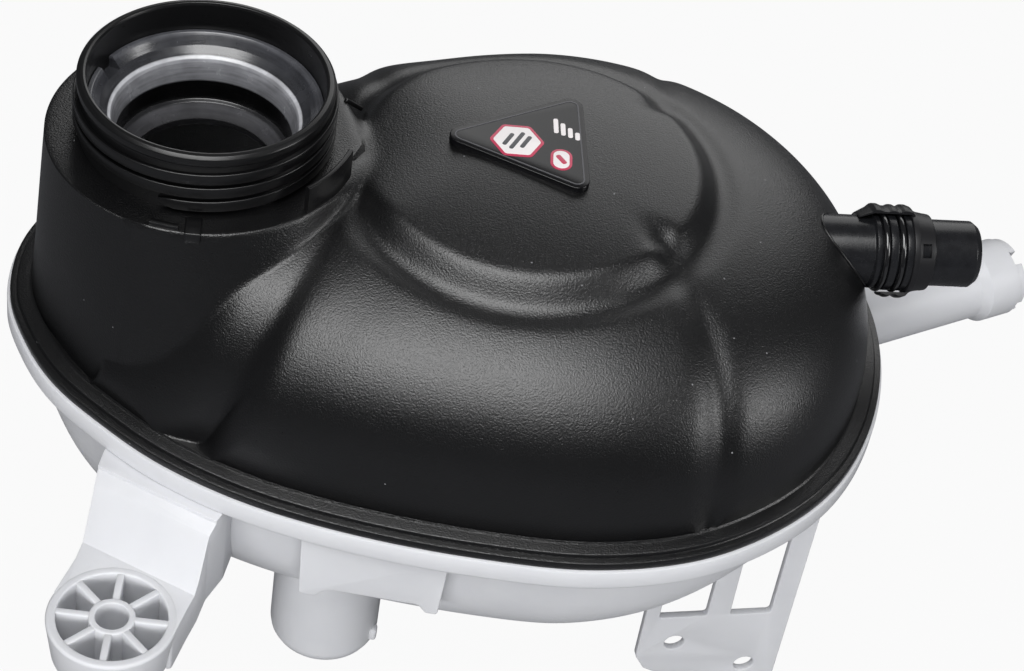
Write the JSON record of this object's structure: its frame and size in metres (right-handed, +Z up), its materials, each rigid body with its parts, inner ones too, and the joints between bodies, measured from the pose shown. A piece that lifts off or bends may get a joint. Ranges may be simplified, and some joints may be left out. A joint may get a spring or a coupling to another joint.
{
  "type": "coolant expansion tank",
  "caption": "Domed two-part tank with a threaded filler neck, a side vent spigot, a rear hose nozzle, a lattice mounting foot and a windowed bracket.",
  "frame": {"origin": "on the filler neck's axis, level with its rim", "axes": "+Z up along the filler neck, +X along the tank towards the vent spigot, +Y towards the rear"},
  "size_m": [0.2722, 0.2061, 0.158],
  "materials": {
    "upper_shell": "fine-grained satin black polypropylene",
    "neck_insert": "glossy dark grey plastic",
    "label_plate": "glossy black with a printed field of stripes",
    "vent_spigot": "glossy black plastic",
    "spigot_rings": "shiny black rubber",
    "spigot_collar": "satin black plastic",
    "lower_shell": "milky natural polypropylene",
    "guide_post": "natural polypropylene",
    "float_ring": "off-white foamed plastic",
    "float_magnet": "dark grey ring magnet",
    "post_clip": "dark grey plastic"
  },
  "bodies": {
    "tank": {"upper_shell": "upper_shell", "neck_insert": "neck_insert", "label_plate": "label_plate", "vent_spigot": "vent_spigot", "spigot_rings": "spigot_rings", "spigot_collar": "spigot_collar", "lower_shell": "lower_shell", "guide_post": "guide_post", "post_clip": "post_clip"},
    "float": {"float_ring": "float_ring", "float_magnet": "float_magnet"}
  },
  "joints": [
    {"name": "float_slide", "type": "slide", "parent": "tank", "child": "float", "axis": [0, 0, 1], "range_m": [0, 0.02]}
  ]
}
